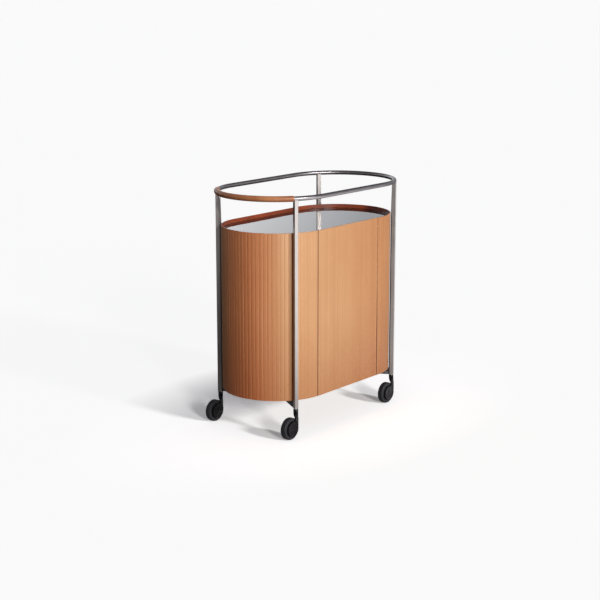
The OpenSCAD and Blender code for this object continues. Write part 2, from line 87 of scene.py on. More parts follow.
class NodeSheet:
    """A node tree with short calls that add and link its nodes."""

    def __init__(self, tree: Tree) -> None:
        """Keeps the tree and empties it."""
        self.tree = tree
        tree.nodes.clear()

    def add(self, kind: str, sockets: dict | None = None, **settings: object) -> bpy.types.Node:
        """Adds one node.

        Args:
            kind: The node's type without its ShaderNode prefix.
            sockets: Values or output sockets, by the input's name or number.
            settings: Properties that are set before the sockets.

        Returns:
            The new node.
        """
        node = self.tree.nodes.new("ShaderNode" + kind)
        for name, value in settings.items():
            setattr(node, name, value)
        for key, value in (sockets or {}).items():
            self.feed(node.inputs[key], value)
        return node

    def feed(self, socket: Socket, value: object) -> None:
        """Links an output to the socket, or sets the socket's own value.

        Args:
            socket: The input.
            value: An output socket or a plain value.
        """
        if isinstance(value, Socket):
            self.tree.links.new(value, socket)
        else:
            socket.default_value = value

    def work(self, kind: str, first: object, second: object = 0.0, clamp: bool = False) -> Socket:
        """Adds a Math node.

        Args:
            kind: The operation.
            first: First value or socket.
            second: Second value or socket.
            clamp: Keeps the result between 0 and 1.

        Returns:
            Its output socket.
        """
        return self.add("Math", {0: first, 1: second}, operation=kind, use_clamp=clamp).outputs[0]

    def times(self, first: object, second: object, clamp: bool = False) -> Socket:
        """Multiplies two values."""
        return self.work("MULTIPLY", first, second, clamp)

    def plus(self, first: object, second: object, clamp: bool = False) -> Socket:
        """Adds two values."""
        return self.work("ADD", first, second, clamp)

    def less(self, first: object, second: object) -> Socket:
        """Takes the second value from the first."""
        return self.work("SUBTRACT", first, second)

    def larger(self, first: object, second: object) -> Socket:
        """Picks the larger of two values."""
        return self.work("MAXIMUM", first, second)

    def size(self, value: object) -> Socket:
        """Drops a value's sign."""
        return self.work("ABSOLUTE", value)

    def vector(self, kind: str, first: object, second: Triple = (0.0, 0.0, 0.0)) -> Socket:
        """Adds a Vector Math node and returns its value."""
        return self.add("VectorMath", {0: first, 1: second}, operation=kind).outputs["Value"]

    def split(self, place: Socket) -> tuple[Socket, Socket, Socket]:
        """Separates coordinates into X, Y and Z."""
        return tuple(self.add("SeparateXYZ", {0: place}).outputs)

    def span(self, value: object, low: float, high: float, to_low: float = 0.0, to_high: float = 1.0) -> Socket:
        """Adds a clamped Map Range node.

        Args:
            value: The value or socket.
            low: Start of the incoming span.
            high: End of the incoming span.
            to_low: Start of the outgoing span.
            to_high: End of the outgoing span.

        Returns:
            Its output socket.
        """
        return self.add("MapRange", {0: value, 1: low, 2: high, 3: to_low, 4: to_high}).outputs[0]

    def blend(self, share: object, first: object, second: object, kind: str = "MIX") -> Socket:
        """Adds a colour Mix node.

        Args:
            share: How much of the second colour.
            first: First colour or socket.
            second: Second colour or socket.
            kind: The blend type.

        Returns:
            Its output socket.
        """
        sockets = {0: share, 6: first, 7: second}
        return self.add("Mix", sockets, data_type="RGBA", blend_type=kind).outputs[2]

    def tinted(self, share: Socket, colour: Socket, tint: Colour) -> Socket:
        """Multiplies a colour by a tint, as far as the share says."""
        return self.blend(share, colour, tint, "MULTIPLY")

    def stretched(self, place: Socket, scale: Triple) -> Socket:
        """Stretches a pattern's coordinates by the scale of each axis."""
        return self.add("Mapping", {"Vector": place, "Scale": scale}).outputs[0]

    def drawn_up(self, place: Socket, share: float) -> Socket:
        """Draws a pattern out along Z by scaling that axis down to a share."""
        return self.stretched(place, (1.0, 1.0, share))

    def noise(self, place: Socket, scale: object, detail: float = 2.0,
              roughness: float = 0.5, distortion: float = 0.0) -> Socket:
        """Adds a Noise Texture.

        Args:
            place: The coordinates.
            scale: Features per metre.
            detail: Number of octaves.
            roughness: Strength of the finer octaves.
            distortion: How far the pattern is drawn out of shape.

        Returns:
            Its factor socket.
        """
        sockets = {"Vector": place, "Scale": scale, "Detail": detail,
                   "Roughness": roughness, "Distortion": distortion}
        return self.add("TexNoise", sockets).outputs[0]

    def group(self, tree: Tree, place: Socket, **values: float) -> Outputs:
        """Places an effect group at the coordinates and returns its outputs."""
        return self.add("Group", {"Place": place, **values}, node_tree=tree).outputs

    def attribute(self, name: str) -> Outputs:
        """Reads one of the mesh's own attributes."""
        return self.add("Attribute", attribute_type="GEOMETRY", attribute_name=name).outputs

    def bump(self, height: Socket, depth: float) -> Socket:
        """Turns a height into a bumped normal of a depth in metres."""
        return self.add("Bump", {"Strength": 1.0, "Distance": depth, "Height": height}).outputs[0]

    def end_polar(self, x: Socket, y: Socket) -> tuple[Socket, Socket]:
        """Measures a place in plan from the middle of the nearer round end.

        Args:
            x: The place along the trolley.
            y: The place across it.

        Returns:
            Its distance, and its angle from the trolley's long axis.
        """
        away = self.less(self.size(self.less(x, MIDDLE_X)), END_REACH)
        side = self.size(y)
        square = self.plus(self.times(away, away), self.times(side, side))
        return self.work("SQRT", square), self.work("ARCTAN2", side, away)


@dataclass(frozen=True)
class Effect:
    """A shader node group with named inputs and outputs, which several finishes use."""

    name: str
    results: tuple[str, ...]
    numbers: tuple[tuple[str, float], ...] = ()

    def open(self) -> tuple[NodeSheet, Outputs]:
        """Makes the empty group.

        Returns:
            Its sheet, and the place and numbers given to it.
        """
        tree = bpy.data.node_groups.new(self.name, "ShaderNodeTree")
        tree.interface.new_socket(name="Place", in_out="INPUT", socket_type="NodeSocketVector")
        for name, value in self.numbers:
            socket = tree.interface.new_socket(name=name, in_out="INPUT", socket_type="NodeSocketFloat")
            socket.default_value = value
        for name in self.results:
            tree.interface.new_socket(name=name, in_out="OUTPUT", socket_type="NodeSocketFloat")
        sheet = NodeSheet(tree)
        return sheet, tree.nodes.new("NodeGroupInput").outputs

    @staticmethod
    def close(sheet: NodeSheet, **results: Socket) -> Tree:
        """Links the results to the group's outputs.

        Args:
            sheet: The group's sheet.
            results: Sockets by the output's name.

        Returns:
            The group.
        """
        out = sheet.tree.nodes.new("NodeGroupOutput")
        for name, socket in results.items():
            sheet.feed(out.inputs[name], socket)
        return sheet.tree


class Effects:
    """The node groups, each built once."""

    def __init__(self) -> None:
        """Builds every group."""
        self.grain = self.leather_grain()
        self.streaks = self.upright_streaks()
        self.wear = self.edge_wear()
        self.marks = self.handling_marks()
        self.lines = self.brushed_lines()

    @staticmethod
    def leather_grain() -> Tree:
        """Builds the pebbled grain of leather, with soft blotches of tone.

        Returns:
            The group.
        """
        effect = Effect("leather_grain", ("Height", "Tone"), (("Pebbles", 700),))
        sheet, given = effect.open()
        place, pebbles = given["Place"], given["Pebbles"]
        cells = sheet.add("TexVoronoi", {"Vector": place, "Scale": pebbles}, feature="F1").outputs["Distance"]
        creases = sheet.noise(place, sheet.times(pebbles, 0.3), detail=4.0, roughness=0.6)
        blotches = sheet.noise(sheet.drawn_up(place, 0.45), 14.0, detail=3.0, roughness=0.55)
        height = sheet.plus(sheet.times(cells, -0.7), creases)
        return effect.close(sheet, Height=height, Tone=sheet.span(blotches, 0.32, 0.68))

    @staticmethod
    def upright_streaks() -> Tree:
        """Builds uneven streaks up the cladding, from the distance round it.

        Returns:
            The group.
        """
        effect = Effect("upright_streaks", ("Tone", "Height"))
        sheet, given = effect.open()
        groups = sheet.noise(sheet.drawn_up(given["Place"], 0.02), 26.0, detail=1.0)
        bands = sheet.noise(sheet.drawn_up(given["Place"], 0.006), 95.0, detail=1.0)
        fine = sheet.noise(sheet.drawn_up(given["Place"], 0.004), 330.0, roughness=0.6)
        height = sheet.plus(bands, sheet.times(fine, 0.22))
        narrow = sheet.plus(sheet.times(bands, 0.35), sheet.times(fine, 0.25))
        tone = sheet.plus(sheet.times(groups, 0.4), narrow)
        return effect.close(sheet, Tone=sheet.span(tone, 0.36, 0.64), Height=height)

    @staticmethod
    def edge_wear() -> Tree:
        """Builds a broken mask along the outer edges of a piece.

        Returns:
            The group.
        """
        effect = Effect("edge_wear", ("Mask",), (("Amount", 0.5),))
        sheet, given = effect.open()
        point = sheet.add("NewGeometry").outputs["Pointiness"]
        breaks = sheet.span(sheet.noise(given["Place"], 130.0, detail=3.0), 0.35, 0.65)
        mask = sheet.times(sheet.span(point, 0.515, 0.6), breaks)
        return effect.close(sheet, Mask=sheet.times(mask, given["Amount"], clamp=True))

    @staticmethod
    def handling_marks() -> Tree:
        """Builds faint smudges and dust.

        Returns:
            The group.
        """
        effect = Effect("handling_marks", ("Mask",), (("Size", 12),))
        sheet, given = effect.open()
        wide = sheet.noise(given["Place"], given["Size"], detail=4.0, roughness=0.6)
        fine = sheet.noise(given["Place"], sheet.times(given["Size"], 22.0))
        return effect.close(sheet, Mask=sheet.times(sheet.span(wide, 0.4, 0.7), sheet.span(fine, 0.25, 0.75)))

    @staticmethod
    def brushed_lines() -> Tree:
        """Builds the fine lines of brushed metal along one axis.

        Returns:
            The group.
        """
        effect = Effect("brushed_lines", ("Height", "Tone"))
        sheet, given = effect.open()
        fine = sheet.noise(given["Place"], 2600.0, roughness=0.7)
        broad = sheet.noise(given["Place"], 420.0)
        tone = sheet.plus(sheet.times(fine, 0.5), sheet.times(broad, 0.5))
        return effect.close(sheet, Height=fine, Tone=sheet.span(tone, 0.35, 0.65))


# Finishes ----------------------------------------------------------------------------------


class Brushing(Enum):
    """The way that a metal's brush marks run, as the scale of each axis."""

    UP = (1.0, 1.0, 0.012)
    LONG = (0.012, 1.0, 1.0)
    NONE = (0.3, 0.3, 0.3)


class Grain(Enum):
    """The way that a veneer's grain runs, as the scale of each axis."""

    UP = (1.0, 1.0, 0.06)
    LONG = (0.06, 1.0, 1.0)


@dataclass(frozen=True)
class Finish:
    """A finish's name and the groups that it draws on."""

    name: str
    effects: Effects

    def look(self, sheet: NodeSheet, place: Socket) -> dict:
        """Works out the finish.

        Args:
            sheet: The material's sheet.
            place: The object coordinates.

        Returns:
            What each socket of the shader takes.
        """
        raise NotImplementedError

    def build(self) -> Material:
        """Builds the material from its look.

        Returns:
            The material.
        """
        material = bpy.data.materials.new(self.name)
        material.use_nodes = True
        sheet = NodeSheet(material.node_tree)
        look = self.look(sheet, sheet.add("TexCoord").outputs["Object"])
        shader = sheet.add("BsdfPrincipled", look)
        sheet.add("OutputMaterial", {"Surface": shader.outputs[0]})
        return material


@dataclass(frozen=True)
class CladdingLeather(Finish):
    """The tan leather over the slats, with uneven upright streaks, a fine grain, and painted shade toward the
    ends, the foot, the right end and beside the uprights.
    """

    light: Colour
    deep: Colour
    rubbed: Colour = paint(232, 190, 150)
    seam: Colour = paint(96, 48, 26)
    roughness: float = 0.46
    specular: float = 0.32
    streak_share: float = 0.28
    blotch_share: float = 0.16
    seam_share: float = 0.85
    hinge_fade: float = 0.75
    rubbed_share: float = 0.5
    smudge_rough: float = 0.12
    grain_height: float = 0.05
    depth: float = 1.1 * MM
    end_painted_shade_tint: Colour = (0.98, 0.62, 0.47, 1.0)
    end_painted_shade_span: Span = (0.31, 0.374)
    foot_painted_shade_tint: Colour = (0.83, 0.72, 0.67, 1.0)
    foot_painted_shade_span: Span = (0.42, 0.14)
    right_painted_shade_tint: Colour = (0.82, 0.69, 0.59, 1.0)
    right_painted_shade_span: Span = (-0.25, 0.19)
    upright_painted_shadow_tint: Colour = (0.42, 0.27, 0.18, 1.0)
    upright_painted_shadow_span: Span = (0.068, 0.05)
    hinge_span: Span = (0.3, 0.5)

    def look(self, sheet: NodeSheet, place: Socket) -> dict:
        """Mixes the tans, paints shade toward the ends, the foot, the right end and beside the uprights,
        darkens the seams, and bumps the streaks.

        Args:
            sheet: The material's sheet.
            place: The object coordinates.

        Returns:
            What each socket of the shader takes.
        """
        streaks = sheet.group(self.effects.streaks, sheet.attribute("around")["Vector"])
        grain = sheet.group(self.effects.grain, place, Pebbles=900.0)
        marks = sheet.group(self.effects.marks, place, Size=7.0)
        wear = sheet.group(self.effects.wear, place, Amount=0.6)
        x, y, z = sheet.split(place)
        _, turn = sheet.end_polar(x, y)
        colour = sheet.blend(sheet.times(streaks["Tone"], self.streak_share), self.light, self.deep)
        colour = sheet.blend(sheet.times(grain["Tone"], self.blotch_share), colour, self.deep)
        # Painted shade: the leather is tinted deeper and darker toward the apex of each round end, where the
        # ends turn from the light.
        end = sheet.span(sheet.size(sheet.less(x, MIDDLE_X)), *self.end_painted_shade_span)
        colour = sheet.tinted(end, colour, self.end_painted_shade_tint)
        # Painted shade: the leather is tinted darker toward the bottom, as the light falls from above.
        colour = sheet.tinted(sheet.span(z, *self.foot_painted_shade_span), colour, self.foot_painted_shade_tint)
        # Painted shade: the leather is tinted darker toward the right end, following the fall of the light
        # across the trolley.
        right = sheet.span(x, *self.right_painted_shade_span)
        colour = sheet.tinted(sheet.times(right, right), colour, self.right_painted_shade_tint)
        colour = sheet.blend(sheet.times(wear["Mask"], self.rubbed_share), colour, self.rubbed)
        # Painted shadow: a dark band on the round ends beside each upright, where the upright shades the
        # leather.
        beside = sheet.size(sheet.less(turn, UPRIGHT_ANGLE))
        colour = sheet.tinted(sheet.span(beside, *self.upright_painted_shadow_span), colour, self.upright_painted_shadow_tint)
        hinged = sheet.times(sheet.span(z, *self.hinge_span), sheet.work("GREATER_THAN", x, 0.0))
        shade = sheet.less(self.seam_share, sheet.times(hinged, self.hinge_fade))
        colour = sheet.blend(sheet.times(sheet.attribute("seam")["Fac"], shade), colour, self.seam)
        rough = sheet.plus(self.roughness, sheet.times(marks["Mask"], self.smudge_rough))
        height = sheet.plus(streaks["Height"], sheet.times(grain["Height"], self.grain_height))
        return {"Base Color": colour, "Roughness": rough, "Specular IOR Level": self.specular,
                "Normal": sheet.bump(height, self.depth)}


@dataclass(frozen=True)
class PlainLeather(Finish):
    """Smooth leather of the handle and the lining, with grain, rubbed edges and handling marks."""

    light: Colour
    deep: Colour
    rubbed: Colour
    roughness: float
    coat: float
    coat_roughness: float
    smudge_rough: float = 0.15
    pebbles: float = 800.0
    depth: float = 0.08 * MM

    def look(self, sheet: NodeSheet, place: Socket) -> dict:
        """Mixes the two tones by the grain, and rubs the edges.

        Args:
            sheet: The material's sheet.
            place: The object coordinates.

        Returns:
            What each socket of the shader takes.
        """
        grain = sheet.group(self.effects.grain, place, Pebbles=self.pebbles)
        marks = sheet.group(self.effects.marks, place, Size=16.0)
        wear = sheet.group(self.effects.wear, place, Amount=0.7)
        colour = sheet.blend(grain["Tone"], self.light, self.deep)
        colour = sheet.blend(wear["Mask"], colour, self.rubbed)
        rough = sheet.plus(self.roughness, sheet.times(marks["Mask"], self.smudge_rough))
        return {"Base Color": colour, "Roughness": rough, "Coat Weight": self.coat,
                "Coat Roughness": self.coat_roughness, "Normal": sheet.bump(grain["Height"], self.depth)}


@dataclass(frozen=True)
class Metal(Finish):
    """Steel with brush marks, faint smudges, brighter rubbed edges, and painted shade in the gap beside the
    leather.
    """

    colour: Colour
    roughness: float
    brushing: Brushing = Brushing.NONE
    painted_gap_shade_reach: float = 0.0
    painted_gap_shade_depth: float = 2 * MM
    painted_gap_shade_top: Span = (0.73, 0.71)
    painted_gap_shade_tint: Colour = (0.22, 0.17, 0.14, 1.0)
    rubbed: Colour = paint(205, 202, 200)
    deep_share: float = 0.78
    line_share: float = 0.6
    smudge_rough: float = 0.14
    line_rough: float = 0.05
    depth: float = 0.004 * MM

    def look(self, sheet: NodeSheet, place: Socket) -> dict:
        """Brushes the steel, rubs its edges and paints shade on the face in the gap beside the cabinet's
        leather, below the rim.

        Args:
            sheet: The material's sheet.
            place: The object coordinates.

        Returns:
            What each socket of the shader takes.
        """
        lines = sheet.group(self.effects.lines, sheet.stretched(place, self.brushing.value))
        marks = sheet.group(self.effects.marks, place, Size=20.0)
        wear = sheet.group(self.effects.wear, place, Amount=0.5)
        deep = tuple(self.deep_share * value for value in self.colour[:3]) + (1.0,)
        colour = sheet.blend(sheet.times(lines["Tone"], self.line_share), self.colour, deep)
        colour = sheet.blend(wear["Mask"], colour, self.rubbed)
        x, y, z = sheet.split(place)
        reach, _ = sheet.end_polar(x, y)
        # Painted shade: steel within a couple of millimetres of the leather's face, below the rim, is darkened
        # where the gap lies in shade.
        gap_shade_mask = sheet.span(reach, self.painted_gap_shade_reach + self.painted_gap_shade_depth, self.painted_gap_shade_reach)
        gap_shade_mask = sheet.times(gap_shade_mask, sheet.span(z, *self.painted_gap_shade_top))
        colour = sheet.tinted(gap_shade_mask, colour, self.painted_gap_shade_tint)
        smudges = sheet.times(marks["Mask"], self.smudge_rough)
        uneven = sheet.plus(smudges, sheet.times(lines["Tone"], self.line_rough))
        return {"Base Color": colour, "Roughness": sheet.plus(self.roughness, uneven), "Metallic": 1.0,
                "Normal": sheet.bump(lines["Height"], self.depth)}


@dataclass(frozen=True)
class Moulded(Finish):
    """Enamel, plastic, rubber or thread with a fine texture, dust and rubbed edges, the black enamel's pale
    edges partly a painted highlight.
    """

    colour: Colour
    wear_and_highlight: Colour
    roughness: float
    texture: float
    depth: float = 0.03 * MM
    specular: float = 0.35
    dust_share: float = 0.35
    smudge_rough: float = 0.2

    def look(self, sheet: NodeSheet, place: Socket) -> dict:
        """Dusts the colour and rubs its edges; on the black enamel the pale rubbed edge is partly a painted
        highlight.

        Args:
            sheet: The material's sheet.
            place: The object coordinates.

        Returns:
            What each socket of the shader takes.
        """
        skin = sheet.noise(place, self.texture, detail=3.0, roughness=0.6)
        marks = sheet.group(self.effects.marks, place, Size=30.0)
        wear = sheet.group(self.effects.wear, place, Amount=0.6)
        colour = sheet.blend(sheet.times(marks["Mask"], self.dust_share), self.colour, self.wear_and_highlight)
        colour = sheet.blend(wear["Mask"], colour, self.wear_and_highlight)
        rough = sheet.plus(self.roughness, sheet.times(marks["Mask"], self.smudge_rough))
        return {"Base Color": colour, "Roughness": rough, "Specular IOR Level": self.specular,
                "Normal": sheet.bump(skin, self.depth)}


@dataclass(frozen=True)
class Veneer(Finish):
    """Oiled veneer with its grain along one axis, and bare plies on a flat panel's edge."""

    light: Colour
    deep: Colour
    grain: Grain
    edge_plies: bool = False
    ply: float = 1.5 * MM
    ply_span: Span = (0.6 * MM, 0.9 * MM)
    roughness: float = 0.42
    smudge_rough: float = 0.2
    depth: float = 0.08 * MM

    def look(self, sheet: NodeSheet, place: Socket) -> dict:
        """Draws the bands and pores of the grain, and the plies where they show.

        Args:
            sheet: The material's sheet.
            place: The object coordinates.

        Returns:
            What each socket of the shader takes.
        """
        along = sheet.stretched(place, self.grain.value)
        bands = sheet.noise(along, 34.0, detail=4.0, roughness=0.6, distortion=0.5)
        pores = sheet.noise(along, 900.0)
        dark = sheet.span(bands, 0.3, 0.7, 0.0, 0.8)
        share = sheet.plus(dark, sheet.span(pores, 0.52, 0.7, 0.0, 0.35), clamp=True)
        colour = sheet.blend(share, self.light, self.deep)
        if self.edge_plies:
            facing_up = sheet.split(sheet.add("NewGeometry").outputs["Normal"])[2]
            flat = sheet.work("GREATER_THAN", sheet.size(facing_up), 0.5)
            layer = sheet.work("PINGPONG", sheet.split(place)[2], self.ply)
            plies = sheet.blend(sheet.span(layer, *self.ply_span), self.light, self.deep)
            colour = sheet.blend(flat, plies, colour)
        marks = sheet.group(self.effects.marks, place, Size=9.0)
        rough = sheet.plus(self.roughness, sheet.times(marks["Mask"], self.smudge_rough))
        return {"Base Color": colour, "Roughness": rough,
                "Normal": sheet.bump(sheet.times(share, -1.0), self.depth)}


@dataclass(frozen=True)
class SmokedGlass(Finish):
    """Grey glass, polished, with faint smudges."""

    tint: Colour
    ior: float = 1.52
    smudge_rough: float = 0.05

    def look(self, sheet: NodeSheet, place: Socket) -> dict:
        """Lets light through and leaves faint smudges.

        Args:
            sheet: The material's sheet.
            place: The object coordinates.

        Returns:
            What each socket of the shader takes.
        """
        marks = sheet.group(self.effects.marks, place, Size=8.0)
        rough = sheet.times(marks["Mask"], self.smudge_rough)
        return {"Base Color": self.tint, "Roughness": rough, "Metallic": 0.0,
                "Transmission Weight": 1.0, "IOR": self.ior}


@dataclass
class FinishBook:
    """Every finish of the trolley, built once."""

    effects: Effects = field(default_factory=Effects)

    def __post_init__(self) -> None:
        """Builds the materials."""
        fx = self.effects
        self.tan = CladdingLeather(
            "tan_cladding_leather", fx, paint(222, 169, 122), paint(190, 124, 78)).build()
        self.handle = PlainLeather(
            "handle_leather_wrap", fx, paint(201, 134, 88), paint(168, 98, 58), paint(222, 170, 128),
            roughness=0.42, coat=0.15, coat_roughness=0.3).build()
        self.lining = PlainLeather(
            "dark_lining_leather", fx, paint(160, 66, 34), paint(112, 42, 20), paint(180, 104, 62),
            roughness=0.4, coat=0.15, coat_roughness=0.24).build()
        self.thread = Moulded(
            "waxed_thread", fx, paint(196, 150, 108), paint(150, 100, 66),
            roughness=0.6, texture=4000.0, depth=0.05 * MM).build()
        # The upright steel carries painted shade in its gap beside the leather.
        self.upright = Metal(
            "brushed_upright_steel", fx, paint(184, 176, 172),
            roughness=0.27, brushing=Brushing.UP, painted_gap_shade_reach=0.2012).build()
        self.rail = Metal("polished_rail_steel", fx, paint(158, 153, 156), roughness=0.34).build()
        self.under = Metal(
            "brushed_base_steel", fx, paint(52, 47, 45), roughness=0.5, brushing=Brushing.LONG).build()
        self.zinc = Metal("bright_zinc", fx, paint(205, 203, 198), roughness=0.26).build()
        # The pale edge grey of the arm enamel is partly wear and partly a painted highlight along the rounded
        # corners of the castor arms.
        self.enamel = Moulded(
            "black_arm_enamel", fx, paint(13, 12, 14), paint(92, 88, 92),
            roughness=0.22, texture=700.0, depth=0.01 * MM, specular=0.22).build()
        self.hub = Moulded(
            "black_hub_plastic", fx, paint(20, 20, 22), paint(60, 60, 64),
            roughness=0.45, texture=1200.0).build()
        self.tyre = Moulded(
            "dark_tyre_rubber", fx, paint(40, 40, 45), paint(78, 76, 80),
            roughness=0.6, texture=900.0, depth=0.05 * MM).build()
        self.ply_up = Veneer("upright_veneer", fx, paint(196, 150, 104), paint(142, 96, 60), Grain.UP).build()
        self.ply_flat = Veneer(
            "panel_veneer", fx, paint(190, 144, 98), paint(136, 92, 58), Grain.LONG, edge_plies=True).build()
        self.tray = Veneer("stained_tray_veneer", fx, paint(30, 27, 28), paint(16, 14, 15), Grain.LONG).build()
        self.glass = SmokedGlass("smoked_glass", fx, paint(176, 182, 190)).build()


# Mesh work ---------------------------------------------------------------------------------


def whole(bm: Mesh) -> list:
    """Lists every corner, edge and face of a shape."""
    return bm.verts[:] + bm.edges[:] + bm.faces[:]


def picked(items: list, kind: type) -> list:
    """Picks the items of one kind out of an operator's result."""
    return [item for item in items if isinstance(item, kind)]


def spun(bm: Mesh, shape: list, centre: Vector, angle: float, steps: int, copies: bool = False) -> list:
    """Spins a shape about an upright axis.

    Args:
        bm: The mesh that holds the shape.
        shape: The corners, edges and faces to spin.
        centre: A point on the axis.
        angle: The whole turn in radians.
        steps: Number of steps.
        copies: Leaves separate copies instead of a sweep.

    Returns:
        What the last step made.
    """
    return bmesh.ops.spin(bm, geom=shape, cent=centre, axis=(0, 0, 1), angle=angle, steps=steps,
                          use_duplicate=copies)["geom_last"]


def eased(bm: Mesh, edges: list[Edge], width: float, segments: int, clamp: bool = False) -> None:
    """Rounds edges over.

    Args:
        bm: The mesh that holds the edges.
        edges: The edges.
        width: Width of the rounding.
        segments: Steps across it.
        clamp: Keeps neighbouring roundings from overlapping.
    """
    bmesh.ops.bevel(bm, geom=edges, offset=width, offset_type="OFFSET", segments=segments, profile=0.5,
                    affect="EDGES", material=-1, clamp_overlap=clamp)


def raised(bm: Mesh, height: float) -> None:
    """Extrudes a flat shape upwards and turns its faces outwards.

    Args:
        bm: The mesh, which holds only that shape.
        height: How far it rises.
    """
    made = bmesh.ops.extrude_face_region(bm, geom=bm.faces[:])["geom"]
    bmesh.ops.translate(bm, vec=(0, 0, height), verts=picked(made, Corner))
    bmesh.ops.recalc_face_normals(bm, faces=bm.faces)


def join(bm: Mesh, other: Mesh) -> None:
    """Adds another bmesh's shape to the first.

    Args:
        bm: The mesh that grows.
        other: The mesh that is added and freed.
    """
    spare = bpy.data.meshes.new("spare")
    other.to_mesh(spare)
    other.free()
    bm.from_mesh(spare)
    bpy.data.meshes.remove(spare)


# Pieces ------------------------------------------------------------------------------------


@dataclass(frozen=True)
class Card:
    """What a new piece is called, what it moves with, and what it stands for."""

    name: str
    body: str
    slot: str
    stands_for: tuple[str, ...] = ()


def finish_piece(bm: Mesh, card: Card, material: Material, crease: float = 35.0) -> bpy.types.Object:
    """Turns a bmesh into a piece at the origin, shaded smooth up to a crease.

    Args:
        bm: The modelled shape, which is freed.
        card: The piece's card.
        material: Its finish.
        crease: Edges sharper than this many degrees stay sharp.

    Returns:
        The piece.
    """
    mesh = bpy.data.meshes.new(card.name)
    bm.to_mesh(mesh)
    bm.free()
    for face in mesh.polygons:
        face.use_smooth = True
    mesh.set_sharp_from_angle(angle=math.radians(crease))
    piece = bpy.data.objects.new(card.name, mesh)
    bpy.context.scene.collection.objects.link(piece)
    mesh.materials.append(material)
    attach(piece, card.body)
    if card.stands_for:
        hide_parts(*card.stands_for)
    LOG.info("%s: %d faces, moves with %s", card.name, len(mesh.polygons), card.body)
    return piece


def dress(node: str, material: Material) -> None:
    """Gives a CAD node its finish.

    Args:
        node: Name of the node.
        material: Its finish.
    """
    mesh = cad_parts[node].data
    mesh.materials.clear()
    mesh.materials.append(material)
    LOG.info("%s: finished as %s", node, material.name)


def softened(card: Card, material: Material, width: float, segments: int = 2) -> None:
    """Makes a merged copy of the one CAD node on a card, with its sharp edges eased.

    Args:
        card: The copy's card.
        material: Its finish.
        width: Width of the eased edge in metres.
        segments: Steps across the eased edge.
    """
    bm = bmesh.new()
    bm.from_mesh(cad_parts[card.stands_for[0]].data)
    bmesh.ops.remove_doubles(bm, verts=bm.verts, dist=0.002 * MM)
    bmesh.ops.dissolve_limit(bm, angle_limit=math.radians(0.5), verts=bm.verts, edges=bm.edges)
    ease = finish_piece(bm, card, material).modifiers.new("eased_edges", "BEVEL")
    ease.width, ease.segments = width, segments
    ease.limit_method, ease.angle_limit = "ANGLE", math.radians(40)
    ease.harden_normals = False


@dataclass(frozen=True)
class Plan:
    """The oval plan that the skins, the lining and the handrail follow, in metres."""

    middle_x: float = MIDDLE_X
    half_straight: float = END_REACH
    body_r: float = 196 * MM
    rail_r: float = 208.5 * MM
    rail_z: float = 842 * MM
    rim_z: float = 722 * MM
    bottom_z: float = 130 * MM
    seam_left_x: float = -188.6 * MM
    seam_right_x: float = 164.8 * MM

    def end_centre(self, side: int, height: float = 0.0) -> Vector:
        """Centre of one round end, -1 for the handle's end and 1 for the other."""
        return Vector((self.middle_x + side * self.half_straight, 0.0, height))

    def along(self, point: Vector) -> float:
        """Measures the distance round the leather from the middle of the front.

        Args:
            point: A point on or near the leather.

        Returns:
            The distance, positive to the right of the front.
        """
        offset = point.x - self.middle_x
        if abs(offset) <= self.half_straight:
            back = 2 * self.half_straight + math.pi * self.body_r
            return offset if point.y < 0 else back - offset
        side = 1 if offset > 0 else -1
        reach = point - self.end_centre(side)
        turn = math.atan2(side * reach.x, -reach.y)
        return side * (self.half_straight + self.body_r * turn)


